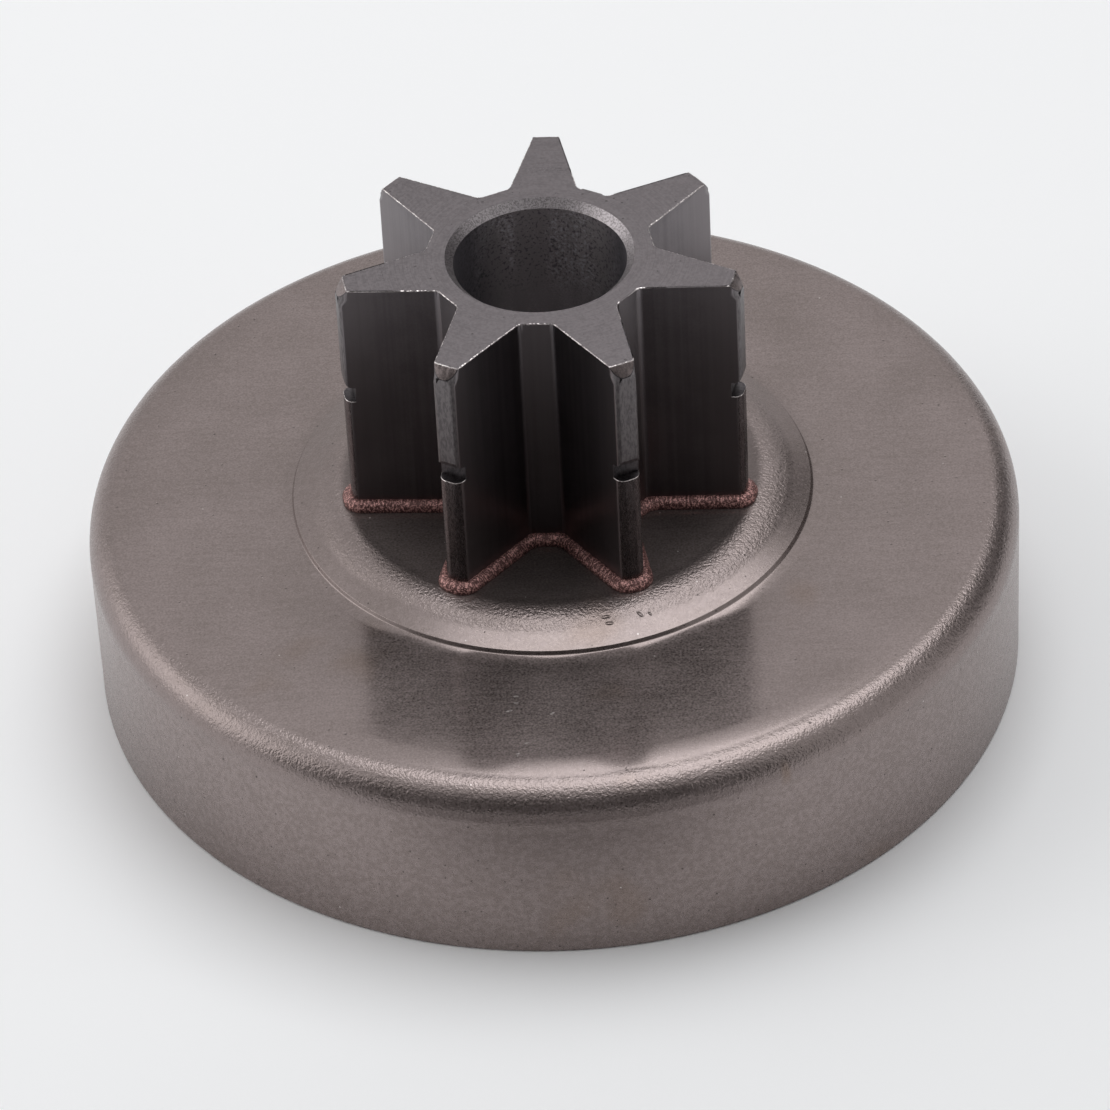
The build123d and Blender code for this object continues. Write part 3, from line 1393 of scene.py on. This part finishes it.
@dataclass
class BrazeBead:
    """The bead of copper round the foot of the teeth.

    Attributes:
        low: Height of the boss that it lies on.
        high: Height to which it climbs the teeth.
        form: Section of the bar that it goes round.
        crown: Radius of its round top.
        step_along: Longest face along it.
        wrinkle: Height of its wrinkles.
    """

    low: float
    high: float
    form: ToothForm
    width: float = 0.75 * MM
    crown: float = 0.68 * MM
    root_rounding: float = 1.2 * MM
    step_along: float = 0.09 * MM
    wrinkle: float = 0.07 * MM
    wrinkle_length: float = 0.16 * MM

    def build(self) -> bpy.types.Object:
        """Makes and dresses the bead.

        Returns:
            The finished piece.
        """
        outline = replace(self.form.grown(self.width), root_rounding=self.root_rounding)
        work = raised(toothed_plate("copper_bead", outline, self.step_along), self.low, self.high)
        with work.editing(Element.EDGES):
            work.bevel(Element.EDGES, lambda edge: level(edge, self.high), self.crown, 12)
        texture = bpy.data.textures.new("wrinkles", "CLOUDS")
        texture.noise_scale = self.wrinkle_length
        work.modify("DISPLACE", texture=texture, texture_coords="LOCAL", strength=self.wrinkle)
        bar = raised(toothed_plate("bar_foot", self.form), self.low - MM, self.high + MM)
        work.combine(bar, Cut.TAKE_AWAY)
        work.close_doubles()
        self.lay_run(work.piece.data)
        work.smooth(60.0)
        work.dress([Braze()])
        return work.piece

    def lay_run(self, mesh: bpy.types.Mesh) -> None:
        """Writes the map that the wrinkles follow: along the run, and up from the boss.

        Args:
            mesh: The bead's mesh.
        """
        guide = toothed_plate("guide", self.form.grown(self.width / 2), self.step_along).piece
        corners = [guide.data.vertices[index].co.copy() for index in guide.data.polygons[0].vertices]
        bpy.data.objects.remove(guide)
        tree = KDTree(len(corners))
        along = [0.0]
        for index, corner in enumerate(corners):
            tree.insert(corner, index)
            along.append(along[-1] + (corners[(index + 1) % len(corners)] - corner).length)
        tree.balance()
        whole = along[-1]
        layer = mesh.uv_layers.new(name="run")
        for polygon in mesh.polygons:
            places = [mesh.vertices[index].co for index in polygon.vertices]
            runs = [along[tree.find(Vector((place.x, place.y, 0)))[1]] for place in places]
            wraps = max(runs) - min(runs) > whole / 2
            for loop, place, run in zip(polygon.loop_indices, places, runs):
                run += whole if wraps and run < whole / 2 else 0.0
                layer.data[loop].uv = (run / MM, (place.z - self.low) / MM)


def stage_plane(name: str, place: Matrix, material: bpy.types.Material) -> bpy.types.Object:
    """Sets up a plane that belongs to the studio.

    Args:
        name: Its name.
        place: Turns a flat plane of one metre into it.
        material: Its material.

    Returns:
        The plane.
    """
    bpy.ops.object.select_all(action="DESELECT")
    bpy.ops.mesh.primitive_plane_add(size=1.0)
    plane = Workpiece(name).piece
    plane.data.transform(place)
    plane.data.materials.append(material)
    return plane


@dataclass(frozen=True)
class Softbox:
    """One rectangular light that faces the object.

    Attributes:
        place: Where its middle hangs.
        level: How bright its face is, where 1 is white.
    """

    name: str
    place: tuple[float, float, float]
    width: float
    height: float
    level: float
    colour: Colour = (1.0, 1.0, 1.0)

    def hang(self) -> None:
        """Makes the light."""
        data = bpy.data.lights.new(self.name, "AREA")
        data.shape = "RECTANGLE"
        data.size, data.size_y = self.width, self.height
        data.energy = self.level * math.pi * self.width * self.height
        data.color = self.colour
        light = bpy.data.objects.new(self.name, data)
        bpy.context.scene.collection.objects.link(light)
        light.location = self.place
        light.rotation_euler = (-Vector(self.place)).to_track_quat("-Z", "Y").to_euler()


@dataclass(frozen=True)
class DarkPanel:
    """One upright dark cloth, out of the camera's sight, that the steel mirrors.

    Attributes:
        place: Middle of its lower edge.
    """

    name: str
    place: tuple[float, float, float]
    width: float
    height: float
    colour: Colour = (0.05, 0.045, 0.045)

    def stand(self) -> None:
        """Makes the panel."""
        turn = Matrix.Rotation(math.atan2(self.place[1], self.place[0]) - math.pi / 2, 4, "Z")
        upright = Matrix.Rotation(math.radians(90), 4, "X")
        size = Matrix.Diagonal((self.width, 1.0, self.height, 1.0))
        middle = Matrix.Translation(Vector(self.place) + Vector((0, 0, self.height / 2)))
        panel = stage_plane(self.name, middle @ turn @ size @ upright, Nodes(self.name).matt(self.colour))
        panel.visible_camera = False


@dataclass
class Studio:
    """Pale floor, soft light and the camera at the photograph's view.

    Attributes:
        lens: Focal length in millimetres on a 36 mm sensor.
        elevation: How far the camera looks down, in degrees.
        roll: How far it is turned about its own axis, in degrees.
        distance: From the camera to the point it looks at.
        aim: The point it looks at.
        world_level: How bright the even surround is.
        cloth: Where the grey cloth in front of the drum lies, a painted shade on the floor that only the
            steel's mirror image shows.
        softboxes: The lights.
        panels: The dark panels.
    """

    lens: float = 207.44
    elevation: float = 39.712
    roll: float = -3.071
    distance: float = 533.05 * MM
    aim: tuple[float, float, float] = (-0.065 * MM, 0.0, 9.081 * MM)
    world_level: float = 0.58
    floor_size: float = 8.0
    floor_colour: Colour = (0.975, 0.975, 0.98)
    shade_cloth_colour: Colour = (0.24, 0.23, 0.23)
    cloth: Mark = Mark(0.0, -82.0, 150.0, 88.0)
    shade_cloth_height: float = 0.2 * MM
    softboxes: tuple[Softbox, ...] = (
        Softbox("overhead_softbox", (0.10, 0.18, 0.75), 0.58, 0.65, 2.18, (0.98, 1.0, 1.02)),
        Softbox("left_softbox", (-0.88, 0.12, 0.47), 0.85, 0.75, 1.2),
    )
    panels: tuple[DarkPanel, ...] = (
        DarkPanel("front_panel", (-0.07, -0.62, 0.0), 1.8, 1.0),
        DarkPanel("right_panel", (0.62, 0.44, 0.0), 0.68, 0.68),
    )

    def build(self) -> None:
        """Makes the floor, the lights and the camera."""
        stage_plane("floor", Matrix.Scale(self.floor_size, 4), Nodes("pale_floor").matt(self.floor_colour))
        self.add_world()
        for softbox in self.softboxes:
            softbox.hang()
        for panel in self.panels:
            panel.stand()
        self.add_shade_cloth()
        self.add_camera()

    def add_shade_cloth(self) -> None:
        """Lays a grey cloth that fades out all round and is seen only in the wall's mirror image, a painted
        shade on the floor in front of the drum.
        """
        size = Matrix.Diagonal((self.cloth.length * MM, self.cloth.width * MM, 1.0, 1.0))
        middle = Matrix.Translation((self.cloth.x * MM, self.cloth.y * MM, self.shade_cloth_height))
        nodes = Nodes("front_shade_cloth")
        colour = nodes.mix(nodes.ellipse(self.cloth).rising(0.5, 1.0), self.shade_cloth_colour, self.floor_colour)
        cloth = stage_plane("front_shade_cloth", middle @ size, nodes.matt(colour))
        cloth.visible_camera = cloth.visible_shadow = cloth.visible_diffuse = False

    def add_world(self) -> None:
        """Sets an even pale surround."""
        world = bpy.data.worlds.new("studio")
        bpy.context.scene.world = world
        world.use_nodes = True
        background = world.node_tree.nodes["Background"]
        background.inputs["Color"].default_value = (1.0, 1.0, 1.0, 1.0)
        background.inputs["Strength"].default_value = self.world_level

    def add_camera(self) -> None:
        """Places the camera as the photograph's."""
        data = bpy.data.cameras.new("camera")
        data.lens = self.lens
        camera = bpy.data.objects.new("camera", data)
        bpy.context.scene.collection.objects.link(camera)
        look = math.radians(self.elevation)
        back = Vector((0.0, -math.cos(look), math.sin(look)))
        camera.location = Vector(self.aim) + back * self.distance
        tilt = Matrix.Rotation(math.pi / 2 - look, 4, "X")
        camera.rotation_euler = (tilt @ Matrix.Rotation(math.radians(self.roll), 4, "Z")).to_euler()
        bpy.context.scene.camera = camera


def mount_radius(name: str) -> float:
    """The radius in metres of a mount that the record names."""
    mount = next(mount for mount in frame["record"]["mounts"] if mount["name"] == name)
    return mount["dims"]["r_mm"] * MM


def seat(piece: bpy.types.Object, node: str) -> None:
    """Puts a finished piece in the place of a construction node.

    Args:
        piece: The finished piece.
        node: The node that it stands for.
    """
    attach(piece, "root")
    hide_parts(node)
    LOG.info("%s: %d faces, for %s", piece.name, len(piece.data.polygons), node)


def main() -> None:
    """Builds the drum and its studio."""
    logging.basicConfig(level=logging.INFO, format="%(message)s")
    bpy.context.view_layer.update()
    cup_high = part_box("drum_cup")[1]
    spur_low, spur_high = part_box("spur_sprocket")
    bead_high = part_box("braze_bead")[1]
    cup = DrumCup(cup_high.x, mount_radius("shoe_drum"), cup_high.z)
    seat(cup.build(), "drum_cup")
    spur = SpurSprocket(spur_low.z, cup_high.z, spur_high.z, mount_radius("bearing_bore"))
    seat(spur.build(), "spur_sprocket")
    bead = BrazeBead(cup_high.z, bead_high.z, replace(spur.form, tip_rounding=spur.lower_tip_rounding))
    seat(bead.build(), "braze_bead")
    Studio().build()
    bpy.context.scene.view_settings.view_transform = "Standard"


if __name__ == "__main__":
    main()
